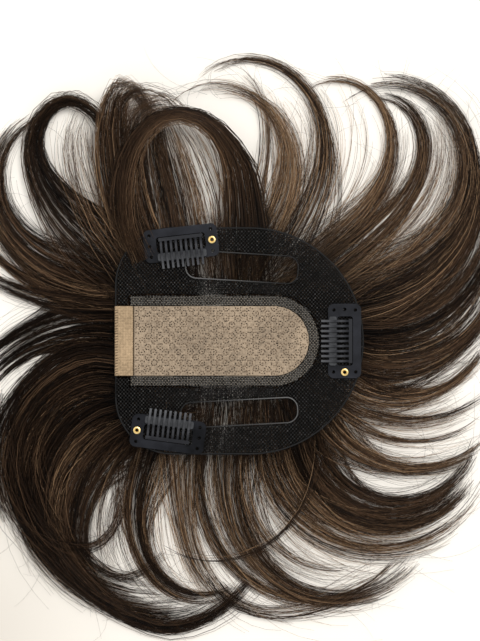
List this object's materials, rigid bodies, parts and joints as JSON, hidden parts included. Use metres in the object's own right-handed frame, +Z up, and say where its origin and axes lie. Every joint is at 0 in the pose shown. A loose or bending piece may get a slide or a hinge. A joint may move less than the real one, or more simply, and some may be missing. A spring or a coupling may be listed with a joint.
{
  "type": "clip-in hair topper",
  "caption": "Hairpiece lying hair side down: D-shaped net base with silk parting panel, slots and snap clips on its lining side, short hair fanned out in curling locks.",
  "frame": {"origin": "middle of the whole piece's footprint, on the surface that it lies on", "axes": "+X from the base's front edge to its round back end, +Y to the wearer's left, +Z up out of the lining side"},
  "size_m": [0.2322, 0.2518, 0.0184],
  "materials": {
    "hair": "dark brown hair, satin",
    "net": "black knotted net, matt",
    "silk": "tan silk with dark hair knots, matt",
    "hem": "plain tan cloth, matt",
    "border": "grey net strip over tan silk, matt",
    "clip_steel": "charcoal enamel, semi-gloss",
    "eyelet_brass": "polished brass",
    "silicone": "translucent grey silicone, satin"
  },
  "bodies": {
    "topper": {"hair": "hair", "net_base": "net", "silk_panel": "silk", "front_hem": "hem", "panel_border": "border", "clip_left_frame": "clip_steel", "clip_left_eyelet": "eyelet_brass", "clip_left_grip": "silicone", "clip_right_frame": "clip_steel", "clip_right_eyelet": "eyelet_brass", "clip_right_grip": "silicone", "clip_back_frame": "clip_steel", "clip_back_eyelet": "eyelet_brass", "clip_back_grip": "silicone"},
    "left_comb": {"clip_left_comb": "clip_steel"},
    "right_comb": {"clip_right_comb": "clip_steel"},
    "back_comb": {"clip_back_comb": "clip_steel"}
  },
  "joints": [
    {"name": "left_clip_snap", "type": "hinge", "parent": "topper", "child": "left_comb", "pos_m": [-0.02333, 0.04822, 0.0119], "axis": [-0.9936, -0.1132, 0], "range_deg": [0, 40]},
    {"name": "right_clip_snap", "type": "hinge", "parent": "topper", "child": "right_comb", "pos_m": [-0.02898, -0.04033, 0.0119], "axis": [0.9919, -0.1271, 0], "range_deg": [0, 40]},
    {"name": "back_clip_snap", "type": "hinge", "parent": "topper", "child": "back_comb", "pos_m": [0.05064, 0.00295, 0.0119], "axis": [0, 1, 0], "range_deg": [0, 40]}
  ]
}
